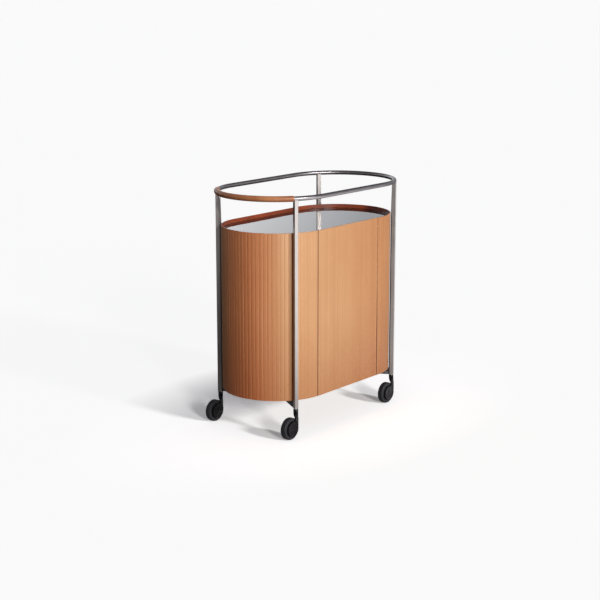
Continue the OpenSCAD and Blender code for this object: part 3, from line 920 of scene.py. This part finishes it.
@dataclass
class Cladding:
    """The slatted leather skins of the round ends, the back and the door."""

    plan: Plan
    book: FinishBook
    thickness: float = 2 * MM
    round_slats: int = 42
    flat_slats: int = 24
    groove_half: float = 0.7 * MM
    round_depth: float = 0.7 * MM
    flat_depth: float = 0.25 * MM
    crown: float = 0.1 * MM
    edge_roll: float = 0.8 * MM
    edge_turn: float = 1.2
    seam_turn: float = 1.0
    door_left_x: float = -187.4 * MM
    pin_x: float = 161.4 * MM
    pin_y: float = -193.8 * MM
    pin_roll_r: float = 2.2 * MM
    pin_edge: float = 0.5 * MM
    notch: float = 2.6 * MM
    seam_shade: float = 2.2 * MM
    roll_spans: tuple[Span, ...] = ((132.4 * MM, 688.6 * MM), (692.4 * MM, 722 * MM))

    def slat(self, pitch: float, depth: float) -> list[tuple[float, float]]:
        """Outlines one slat in plan.

        Args:
            pitch: Width of the slat along the leather's face.
            depth: Depth of the groove beside it.

        Returns:
            Points as distance along the face and height over it.
        """
        half, crown = self.groove_half, self.crown
        rise = [(0.0, -depth), (0.45 * half, -0.8 * depth), (half, -0.3 * depth),
                (1.8 * half, 0.0), (0.3 * pitch, 0.8 * crown), (0.5 * pitch, crown)]
        fall = [(pitch - along, height) for along, height in reversed(rise[:-1])]
        return rise + fall + [(along, -self.thickness) for along in (pitch, pitch / 2, 0.0)]

    def round_row(self, side: int) -> Mesh:
        """Lays the slats of one round end in plan, from the front flank to the back.

        Args:
            side: -1 for the handle's end, 1 for the other.

        Returns:
            The flat row.
        """
        bm = bmesh.new()
        centre, step, radius = self.plan.end_centre(side), math.pi / self.round_slats, self.plan.body_r
        corners = []
        for along, height in self.slat(step * radius, self.round_depth):
            turn = -math.pi / 2 + side * along / radius
            out = Vector((math.cos(turn), math.sin(turn), 0))
            corners.append(bm.verts.new(centre + (radius + height) * out))
        bm.faces.new(corners)
        spun(bm, whole(bm), centre, side * (math.pi - step), self.round_slats - 1, copies=True)
        bmesh.ops.remove_doubles(bm, verts=bm.verts, dist=MERGE)
        return bm

    def flat_row(self, side: int, first: int, count: int) -> Mesh:
        """Lays a row of slats along one flat flank in plan.

        Args:
            side: -1 for the front, 1 for the back.
            first: Number of the first slat from the flank's left end.
            count: Number of slats.

        Returns:
            The flat row.
        """
        bm = bmesh.new()
        pitch = 2 * self.plan.half_straight / self.flat_slats
        start = self.plan.middle_x - self.plan.half_straight + first * pitch
        corners = [bm.verts.new((start + along, side * (self.plan.body_r + height), 0))
                   for along, height in self.slat(pitch, self.flat_depth)]
        slat = [bm.faces.new(corners)]
        for number in range(1, count):
            made = bmesh.ops.duplicate(bm, geom=slat)["geom"]
            bmesh.ops.translate(bm, vec=(number * pitch, 0, 0), verts=picked(made, Corner))
        bmesh.ops.remove_doubles(bm, verts=bm.verts, dist=MERGE)
        return bm

    @staticmethod
    def trim(bm: Mesh, x: float, outward: int, front_only: bool = False) -> None:
        """Cuts a flat row off at a seam.

        Args:
            bm: The flat row.
            x: Place of the seam.
            outward: 1 to remove what lies beyond X, -1 to remove what lies before it.
            front_only: Leaves the faces behind the middle alone.
        """
        faces = [face for face in bm.faces if not front_only or face.calc_center_median().y < 0]
        geometry = {item for face in faces for item in (face, *face.edges, *face.verts)}
        bmesh.ops.bisect_plane(bm, geom=list(geometry), dist=0.0001 * MM, plane_co=(x, 0, 0),
                               plane_no=(outward, 0, 0), clear_outer=True)

    def on_face(self, corner: Corner) -> bool:
        """Tells whether a corner lies on the leather's outer face."""
        beyond = max(abs(corner.co.x - self.plan.middle_x) - self.plan.half_straight, 0.0)
        return math.hypot(beyond, corner.co.y) > self.plan.body_r - 0.5 * self.thickness

    def raise_row(self, bm: Mesh, low: float, high: float, seams: tuple[float, ...] = ()) -> None:
        """Extrudes a flat row to its height and rolls its rim, foot and seam edges.

        Args:
            bm: The flat row.
            low: Height of the lower edge.
            high: Height of the upper edge.
            seams: X of the upright edges that are rolled.
        """
        bmesh.ops.translate(bm, vec=(0, 0, low), verts=bm.verts)
        raised(bm, high - low)
        bm.normal_update()
        rolled = []
        for edge in bm.edges:
            if len(edge.link_faces) != 2 or not all(self.on_face(vert) for vert in edge.verts):
                continue
            first, last = (vert.co for vert in edge.verts)
            level, turn = abs(first.z - last.z), edge.calc_face_angle(0.0)
            at_seam = any(abs(first.x - seam) < 0.05 * MM for seam in seams)
            along_rim = level < MERGE and turn > self.edge_turn
            if along_rim or (level > MERGE and at_seam and turn > self.seam_turn):
                rolled.append(edge)
        eased(bm, rolled, self.edge_roll, 3, clamp=True)

    def finish_skin(self, bm: Mesh, name: str, body: str = "frame") -> None:
        """Marks the way round the trolley and the darkening beside a seam, and finishes the skin.

        Args:
            bm: The skin's shape.
            name: Name of the CAD node that it stands for.
            body: The body that it moves with.
        """
        layer = bm.verts.layers.float_vector.new("around")
        shade = bm.verts.layers.float.new("seam")
        hinge_x = self.pin_x + self.pin_roll_r
        seams = (self.plan.seam_left_x, self.door_left_x, self.plan.seam_right_x, hinge_x)
        for vert in bm.verts:
            vert[layer] = (self.plan.along(vert.co), 0.0, vert.co.z)
            near = min(abs(vert.co.x - seam) for seam in seams)
            vert[shade] = max(0.0, 1.0 - near / self.seam_shade) if vert.co.y < 0 else 0.0
        finish_piece(bm, Card(name + "_skin", body, "tan_leather", (name,)), self.book.tan)

    def build_left(self) -> None:
        """Builds the skin of the handle's end, cut back at the door's left seam."""
        bm = self.round_row(-1)
        self.trim(bm, self.plan.seam_left_x, 1, front_only=True)
        self.raise_row(bm, self.plan.bottom_z, self.plan.rim_z, (self.plan.seam_left_x,))
        self.finish_skin(bm, "left_end_leather")

    def build_right(self) -> None:
        """Builds the skin of the other end, with its strip of the front."""
        bm, strip = self.round_row(1), self.flat_row(-1, self.flat_slats - 1, 1)
        self.trim(strip, self.plan.seam_right_x, -1)
        join(bm, strip)
        bmesh.ops.remove_doubles(bm, verts=bm.verts, dist=5 * MERGE)
        self.raise_row(bm, self.plan.bottom_z, self.plan.rim_z, (self.plan.seam_right_x,))
        self.finish_skin(bm, "right_end_leather")

    def build_back(self) -> None:
        """Builds the flat skin of the back."""
        bm = self.flat_row(1, 0, self.flat_slats)
        self.raise_row(bm, self.plan.bottom_z, self.plan.rim_z)
        self.finish_skin(bm, "back_leather")

    def build_door(self) -> None:
        """Builds the door's skin, with the rolled edge that turns on the hinge pins."""
        bm = self.flat_row(-1, -1, self.flat_slats + 1)
        self.trim(bm, self.door_left_x, -1)
        self.trim(bm, self.pin_x - self.notch, 1)
        for vert in bm.verts:
            past = max(self.plan.end_centre(-1).x - vert.co.x, 0.0)
            vert.co.y += self.plan.body_r - math.sqrt(self.plan.body_r ** 2 - past ** 2)
        self.raise_row(bm, self.plan.bottom_z, self.plan.rim_z, (self.door_left_x,))
        for low, high in self.roll_spans:
            strip = self.flat_row(-1, self.flat_slats - 2, 2)
            self.trim(strip, self.pin_x - self.notch, -1)
            self.trim(strip, self.pin_x, 1)
            self.raise_row(strip, low, high)
            join(bm, strip)
            join(bm, self.hinge_roll(low, high))
        self.finish_skin(bm, "door_leather", "door")

    def hinge_roll(self, low: float, high: float) -> Mesh:
        """Rolls the leather round a length of the hinge pin.

        Args:
            low: Height of its lower end.
            high: Height of its upper end.

        Returns:
            The roll.
        """
        roll = bmesh.new()
        place = Matrix.Translation((self.pin_x, self.pin_y, (low + high) / 2))
        bmesh.ops.create_cone(roll, cap_ends=True, segments=32, radius1=self.pin_roll_r,
                              radius2=self.pin_roll_r, depth=high - low, matrix=place)
        ends = [edge for edge in roll.edges if abs(edge.verts[0].co.z - edge.verts[1].co.z) < MERGE]
        eased(roll, ends, self.pin_edge, 2)
        return roll

    def build(self) -> None:
        """Builds the four skins."""
        self.build_left()
        self.build_right()
        self.build_back()
        self.build_door()


@dataclass
class Handrail:
    """The steel ring, and the leather sewn round its handle end."""

    plan: Plan
    book: FinishBook
    tube_r: float = 8 * MM
    wrap_r: float = 10.2 * MM
    half_angle: float = math.radians(56)
    seam_angle: float = math.radians(-150)
    seam_half: float = math.radians(4)
    seam_depth: float = 0.7 * MM
    lip: float = 0.9 * MM
    lip_bends: tuple[Span, ...] = ((0.35 * MM, 0.6), (1.1 * MM, 0.4))
    lip_gap: float = 0.06 * MM
    stitch_pitch: float = 6 * MM
    stitch_start: float = 8 * MM
    stitch_sink: float = 0.25 * MM
    stitch_slant: float = math.radians(28)
    stitch_size: Triple = (0.5 * MM, 2.6 * MM, 0.45 * MM)

    def centre(self) -> Vector:
        """Middle of the ring's round end."""
        return self.plan.end_centre(-1, self.plan.rail_z)

    def sweep(self, inset: float) -> float:
        """Angle that the wrap covers less an inset at each end."""
        return 2 * (self.half_angle - inset / self.plan.rail_r)

    def at_start(self, inset: float) -> Matrix:
        """Places a shape drawn in the XY plane across the tube, at the start of the wrap.

        Args:
            inset: Distance from the wrap's end.

        Returns:
            The placing matrix.
        """
        turned = Matrix.Rotation(math.pi - self.half_angle + inset / self.plan.rail_r, 4, "Z")
        out = Matrix.Translation((self.plan.rail_r, 0, 0))
        return Matrix.Translation(self.centre()) @ turned @ out @ Matrix.Rotation(math.pi / 2, 4, "X")

    def across(self, point: Vector) -> tuple[Vector, Vector]:
        """Finds the tube's centre line beside a point.

        Args:
            point: A point near the handle.

        Returns:
            The nearest centre and the way outwards in plan.
        """
        centre = self.plan.end_centre(-1)
        out = Vector((point.x - centre.x, point.y, 0)).normalized()
        return centre + out * self.plan.rail_r + Vector((0, 0, self.plan.rail_z)), out

    def sink_seam(self, bm: Mesh) -> None:
        """Presses the sleeve in along its sewn seam.

        Args:
            bm: The sleeve's shape.
        """
        for vert in bm.verts:
            middle, out = self.across(vert.co)
            reach = vert.co - middle
            turn = math.atan2(reach.z, reach.dot(out))
            gap = abs((turn - self.seam_angle + math.pi) % (2 * math.pi) - math.pi)
            if gap < self.seam_half:
                vert.co = middle + reach * (1 - self.seam_depth / self.wrap_r)

    def build_wrap(self) -> None:
        """Spins the leather sleeve, closes its ends with a lip and sinks its seam."""
        bm = bmesh.new()
        bmesh.ops.create_circle(bm, cap_ends=False, segments=48, radius=self.wrap_r,
                                matrix=self.at_start(self.lip))
        spun(bm, whole(bm), self.centre(), self.sweep(self.lip), 84)
        self.sink_seam(bm)
        bends = [(self.wrap_r - inward, share) for inward, share in self.lip_bends]
        for radius, share in (*bends, (self.tube_r + self.lip_gap, 0.0)):
            loop = [edge for edge in bm.edges if edge.is_boundary]
            made = bmesh.ops.extrude_edge_only(bm, edges=loop)["geom"]
            for vert in picked(made, Corner):
                middle, out = self.across(vert.co)
                along = Vector((-out.y, out.x, 0)) * (1 if vert.co.y < 0 else -1)
                reach = vert.co - middle
                shrunk = reach.normalized() * min(radius, reach.length)
                vert.co = middle + shrunk + along * (share * self.lip)
        bmesh.ops.recalc_face_normals(bm, faces=bm.faces)
        card = Card("handle_wrap", "frame", "handle_leather", ("handrail_leather",))
        finish_piece(bm, card, self.book.handle, 50)

    def build_stitches(self) -> None:
        """Sews the seam with slanting stitches."""
        bm = bmesh.new()
        bmesh.ops.create_uvsphere(bm, u_segments=8, v_segments=5, radius=1.0)
        size = Matrix.Diagonal((*self.stitch_size, 1.0))
        slant = Matrix.Rotation(self.stitch_slant, 4, "X")
        sunk = Matrix.Translation((self.wrap_r - self.stitch_sink, 0, 0))
        turned = Matrix.Rotation(self.seam_angle, 4, "Z")
        place = self.at_start(self.stitch_start) @ turned @ sunk @ slant @ size
        bmesh.ops.transform(bm, matrix=place, verts=bm.verts)
        sweep = self.sweep(self.stitch_start)
        count = round(sweep * self.plan.rail_r / self.stitch_pitch)
        spun(bm, whole(bm), self.centre(), sweep, count, copies=True)
        bmesh.ops.recalc_face_normals(bm, faces=bm.faces)
        finish_piece(bm, Card("handle_stitches", "frame", "handle_leather"), self.book.thread, 60)

    def build(self) -> None:
        """Dresses the tube and builds the wrap and its stitches."""
        dress("handrail_tube", self.book.rail)
        self.build_wrap()
        self.build_stitches()


@dataclass
class TopTray:
    """The smoked glass, the stained panel under it and the dark lining inside the rim."""

    plan: Plan
    book: FinishBook
    inner_r: float = 191.6 * MM
    outer_r: float = 193.8 * MM
    low_z: float = 692 * MM
    top_roll: float = 0.9 * MM
    edge_turn: float = 1.2
    end_steps: int = 90

    def finish_strip(self, bm: Mesh, rim: list[Edge], name: str, body: str) -> None:
        """Rolls the upper edge of a lining strip and finishes it.

        Args:
            bm: The strip's shape.
            rim: Its upper edges.
            name: Name of the CAD node that it stands for.
            body: The body that it moves with.
        """
        eased(bm, rim, self.top_roll, 4)
        finish_piece(bm, Card(name + "_leather", body, "dark_leather", (name,)), self.book.lining)

    def build_lining(self) -> None:
        """Spins the lining round both ends and along the back."""
        plan = self.plan
        bm = bmesh.new()
        start = [bm.verts.new((plan.seam_right_x, -radius, self.low_z))
                 for radius in (self.inner_r, self.outer_r)]
        edge = [bm.edges.new(start)]
        straight = plan.end_centre(1).x - plan.seam_right_x
        last_turn = math.pi - math.asin((plan.end_centre(-1).x - plan.seam_left_x) / self.outer_r)
        for side, reach, turn in ((1, straight, math.pi), (-1, -2 * plan.half_straight, last_turn)):
            made = bmesh.ops.extrude_edge_only(bm, edges=edge)["geom"]
            ends = picked(made, Corner)
            bmesh.ops.translate(bm, vec=(reach, 0, 0), verts=ends)
            last = spun(bm, ends + picked(made, Edge), plan.end_centre(side), turn, self.end_steps)
            edge = picked(last, Edge)
        raised(bm, plan.rim_z - self.low_z)
        rim = [item for item in bm.edges if item.calc_face_angle(0.0) > self.edge_turn
               and all(vert.co.z > plan.rim_z - MM for vert in item.verts)]
        self.finish_strip(bm, rim, "rim_lining", "frame")

    def build_door_lining(self) -> None:
        """Builds the strip of lining that opens with the door."""
        low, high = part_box("door_rim_lining")
        bm = bmesh.new()
        place = Matrix.Translation((low + high) / 2) @ Matrix.Diagonal((*(high - low), 1.0))
        bmesh.ops.create_cube(bm, size=1.0, matrix=place)
        rim = [item for item in bm.edges if all(vert.co.z > high.z - MM for vert in item.verts)]
        self.finish_strip(bm, rim, "door_rim_lining", "door")

    def build(self) -> None:
        """Builds the linings and dresses the panel and the glass."""
        self.build_lining()
        self.build_door_lining()
        dress("tray_panel", self.book.tray)
        dress("glass_top", self.book.glass)


@dataclass
class SteelFrame:
    """Uprights, arms, spine plate and the fastenings under the cabinet."""

    book: FinishBook
    upright_edge: float = 0.7 * MM
    arm_edge: float = 0.5 * MM
    fastenings: tuple[str, ...] = (
        "cabinet_bolts", "castor_bushes", "shelf_pins", "hinge_pins", "hinge_screws",
        "hinge_bracket_top", "hinge_bracket_bottom", "catch_strike")

    def build(self) -> None:
        """Eases the edges of the flat steel and dresses the rest."""
        kinds = (("upright_", self.book.upright, self.upright_edge), ("arm_", self.book.under, self.arm_edge))
        for corner in CORNERS:
            for kind, material, width in kinds:
                node = kind + corner
                softened(Card(node + "_bar", "frame", "gunmetal", (node,)), material, width)
        dress("spine_plate", self.book.under)
        for node in self.fastenings:
            dress(node, self.book.zinc)


@dataclass
class Cabinet:
    """The plywood walls, panels and shelf."""

    book: FinishBook
    edge: float = 0.8 * MM

    def build(self) -> None:
        """Dresses the plywood and eases the edges that show when the door is open."""
        upright, flat = self.book.ply_up, self.book.ply_flat
        for node in ("left_end_shell", "right_end_shell", "back_panel"):
            dress(node, upright)
        dress("base_panel", flat)
        boards = (("left_jamb", "_post", "frame", upright), ("right_jamb", "_post", "frame", upright),
                  ("shelf", "_board", "frame", flat), ("door_panel", "_board", "door", upright))
        for node, ending, body, material in boards:
            softened(Card(node + ending, body, "veneered_ply", (node,)), material, self.edge)
        softened(Card("catch_case", "frame", "black_hub", ("catch_body",)), self.book.hub, self.edge, 3)


@dataclass
class Castors:
    """The four castors."""

    book: FinishBook
    arm_edge: float = 0.9 * MM

    def build(self) -> None:
        """Dresses the arms, axles, hubs and tyres."""
        for corner in CORNERS:
            arm = "castor_arm_" + corner
            card = Card(arm + "_casting", "castor_" + corner, "black_enamel", (arm,))
            softened(card, self.book.enamel, self.arm_edge, 3)
            dress("castor_axle_" + corner, self.book.enamel)
            dress("wheel_hub_" + corner, self.book.hub)
            dress("wheel_tyre_" + corner, self.book.tyre)


# Studio ------------------------------------------------------------------------------------


@dataclass(frozen=True)
class Lamp:
    """One far soft lamp, with its way, strength and colour, and two angles in degrees."""

    name: str
    toward: tuple[float, float]
    rise: float
    power: float
    spread: float
    tone: Triple

    def build(self) -> None:
        """Adds the lamp."""
        data = bpy.data.lights.new(self.name, "SUN")
        data.energy, data.angle, data.color = self.power, math.radians(self.spread), self.tone
        lamp = bpy.data.objects.new(self.name, data)
        rise = math.radians(self.rise)
        flat = Vector((*self.toward, 0)).normalized() * math.cos(rise)
        shine = -Vector((flat.x, flat.y, math.sin(rise)))
        lamp.rotation_euler = shine.to_track_quat("-Z", "Y").to_euler()
        bpy.context.scene.collection.objects.link(lamp)


@dataclass
class Studio:
    """Pale floor, soft lamps, and the camera at the photograph's angle."""

    frame_px: float = 600.0
    focal_px: float = 1405.33
    sensor: float = 36.0
    yaw: float = math.radians(51.209)
    pitch: float = math.radians(12.607)
    camera_at: Triple = (-3.94046, -3.13149, 1.54278)
    backdrop: Colour = paint(250, 250, 250)
    floor_radius: float = 60.0
    floor_seen: Colour = (1.88, 1.88, 1.88, 1.0)
    floor_lit: Colour = (0.35, 0.35, 0.35, 1.0)
    floor_dull: Colour = (0.22, 0.22, 0.23, 1.0)
    floor_mirrored: Colour = (0.02, 0.02, 0.02, 1.0)
    floor_glow: float = 0.14
    floor_glow_far: float = 0.81
    near_ramp: Ramp = (0.3, 0.6, 1.0, 0.0)
    oval: Triple = (0.6, 1.0, 1.0)
    far_ramp: Ramp = (0.36, 0.66, 0.0, 0.92)
    glow_left: Ramp = (-0.75, -0.2, 0.0, 0.12)
    glow_right: Ramp = (-0.2, 1.1, 0.0, 1.6)
    glow_depth: Ramp = (0.0, 1.0, 1.0, 0.16)
    glow_rim: Ramp = (3.2, 3.8, 0.0, 0.3)
    glow_front: Span = (-0.5, -1.5)
    sky_turn: Span = (-0.05, 0.05)
    sky_left: Colour = (1.5, 1.52, 1.56, 1.0)
    sky_right: Colour = (0.74, 0.76, 0.80, 1.0)
    sky_low: Colour = (0.2, 0.2, 0.22, 1.0)
    sky_low_rise: Span = (0.05, 0.14)
    sky_front: Span = (-0.3, 0.75)
    sky_back_low: Colour = (0.012, 0.012, 0.014, 1.0)
    sky_back: Colour = (0.42, 0.42, 0.45, 1.0)
    sky_back_rise: Span = (0.0, 0.15)
    sky_high: Colour = (0.10, 0.10, 0.11, 1.0)
    sky_high_rise: Span = (0.27, 0.45)
    fill: Colour = (0.13, 0.135, 0.15, 1.0)
    lamps: tuple[Lamp, ...] = (
        Lamp("key", (-0.48, -0.88), rise=16.0, power=1.48, spread=9.0, tone=(1.0, 0.985, 0.96)),
        Lamp("broad", (0.0, -1.0), rise=21.0, power=1.67, spread=7.0, tone=(1.0, 0.99, 0.98)))

    def ahead(self) -> Triple:
        """The way that the photograph looks, in plan."""
        return (math.sin(self.yaw), math.cos(self.yaw), 0.0)

    def right(self) -> Triple:
        """The way to the photograph's right, in plan."""
        return (math.cos(self.yaw), -math.sin(self.yaw), 0.0)

    @staticmethod
    def rays(sheet: NodeSheet) -> tuple[Socket, Socket]:
        """Tells the kinds of ray apart.

        Args:
            sheet: The sheet of the floor or the world.

        Returns:
            The camera's own rays, and those that metal and glass send on.
        """
        seen = sheet.add("LightPath").outputs
        mirrored = sheet.larger(seen["Is Glossy Ray"], seen["Is Transmission Ray"])
        return seen["Is Camera Ray"], mirrored

    def build_camera(self) -> None:
        """Sets the camera up."""
        data = bpy.data.cameras.new("camera")
        data.sensor_width = self.sensor
        data.lens = self.focal_px * self.sensor / self.frame_px
        data.clip_end = 100.0
        camera = bpy.data.objects.new("camera", data)
        flat = math.cos(self.pitch)
        look = Vector((math.sin(self.yaw) * flat, math.cos(self.yaw) * flat, -math.sin(self.pitch)))
        camera.location = self.camera_at
        camera.rotation_euler = look.to_track_quat("-Z", "Y").to_euler()
        bpy.context.scene.collection.objects.link(camera)
        bpy.context.scene.camera = camera

    def floor_finish(self) -> Material:
        """Makes the floor pale to the camera, graded in mirrored rays and shaded by the trolley.

        Returns:
            The material.
        """
        material = bpy.data.materials.new("pale_floor")
        material.use_nodes = True
        sheet = NodeSheet(material.node_tree)
        camera, mirrored = self.rays(sheet)
        place = sheet.add("TexCoord").outputs["Object"]
        reach = sheet.vector("LENGTH", place)
        near = sheet.span(reach, *self.near_ramp)
        away = sheet.times(mirrored, sheet.less(1.0, near))
        shown = sheet.larger(camera, sheet.times(mirrored, near))
        oval = sheet.vector("LENGTH", sheet.stretched(place, self.oval))
        faded = sheet.times(sheet.span(oval, *self.far_ramp), camera)
        colour = sheet.blend(shown, self.floor_dull, self.floor_lit)
        colour = sheet.blend(camera, colour, self.floor_seen)
        colour = sheet.blend(away, colour, self.floor_mirrored)
        colour = sheet.blend(faded, colour, BLACK)
        right = sheet.vector("DOT_PRODUCT", place, self.right())
        depth = sheet.vector("DOT_PRODUCT", place, self.ahead())
        graded = sheet.plus(sheet.span(right, *self.glow_left), sheet.span(right, *self.glow_right))
        graded = sheet.times(graded, sheet.span(depth, *self.glow_depth))
        front = sheet.times(sheet.span(reach, *self.glow_rim), sheet.span(depth, *self.glow_front))
        base = sheet.plus(self.floor_glow, sheet.times(faded, self.floor_glow_far))
        strength = sheet.plus(sheet.times(shown, base), sheet.times(away, sheet.larger(graded, front)))
        matt = sheet.add("BsdfDiffuse", {"Color": colour}).outputs[0]
        glow = sheet.add("Emission", {"Color": WHITE, "Strength": strength}).outputs[0]
        both = sheet.add("AddShader", {0: matt, 1: glow}).outputs[0]
        sheet.add("OutputMaterial", {"Surface": both})
        return material

    def build_floor(self) -> None:
        """Lays the floor."""
        bm = bmesh.new()
        bmesh.ops.create_circle(bm, cap_ends=True, segments=64, radius=self.floor_radius)
        mesh = bpy.data.meshes.new("floor")
        bm.to_mesh(mesh)
        bm.free()
        floor = bpy.data.objects.new("floor", mesh)
        bpy.context.scene.collection.objects.link(floor)
        mesh.materials.append(self.floor_finish())

    def build_world(self) -> None:
        """Sets a dim even fill, a pale backdrop for the camera and a graded one for reflections."""
        world = bpy.data.worlds.new("studio")
        bpy.context.scene.world = world
        world.use_nodes = True
        sheet = NodeSheet(world.node_tree)
        camera, mirrored = self.rays(sheet)
        ray = sheet.add("TexCoord").outputs["Generated"]
        onward = sheet.vector("DOT_PRODUCT", ray, self.ahead())
        right = sheet.vector("DOT_PRODUCT", ray, self.right())
        rise = sheet.split(ray)[2]
        bright = sheet.blend(sheet.span(right, *self.sky_turn), self.sky_left, self.sky_right)
        bright = sheet.blend(sheet.span(rise, *self.sky_low_rise), self.sky_low, bright)
        dark = sheet.blend(sheet.span(rise, *self.sky_back_rise), self.sky_back_low, self.sky_back)
        graded = sheet.blend(sheet.span(onward, *self.sky_front), dark, bright)
        graded = sheet.blend(sheet.span(rise, *self.sky_high_rise), graded, self.sky_high)
        colour = sheet.blend(mirrored, self.fill, graded)
        colour = sheet.blend(camera, colour, self.backdrop)
        sky = sheet.add("Background", {"Color": colour, "Strength": 1.0})
        sheet.add("OutputWorld", {"Surface": sky.outputs[0]})

    def build(self) -> None:
        """Builds the camera, the floor, the world and the lamps."""
        bpy.context.scene.view_settings.view_transform = "Standard"
        self.build_camera()
        self.build_floor()
        self.build_world()
        for lamp in self.lamps:
            lamp.build()


def main() -> None:
    """Builds every sub-assembly and the studio."""
    logging.basicConfig(level=logging.INFO, format="%(message)s")
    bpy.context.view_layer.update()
    book, plan = FinishBook(), Plan()
    assemblies = (Cladding(plan, book), Handrail(plan, book), TopTray(plan, book),
                  SteelFrame(book), Cabinet(book), Castors(book), Studio())
    for assembly in assemblies:
        LOG.info("Building %s", type(assembly).__name__)
        assembly.build()


if __name__ == "__main__":
    main()
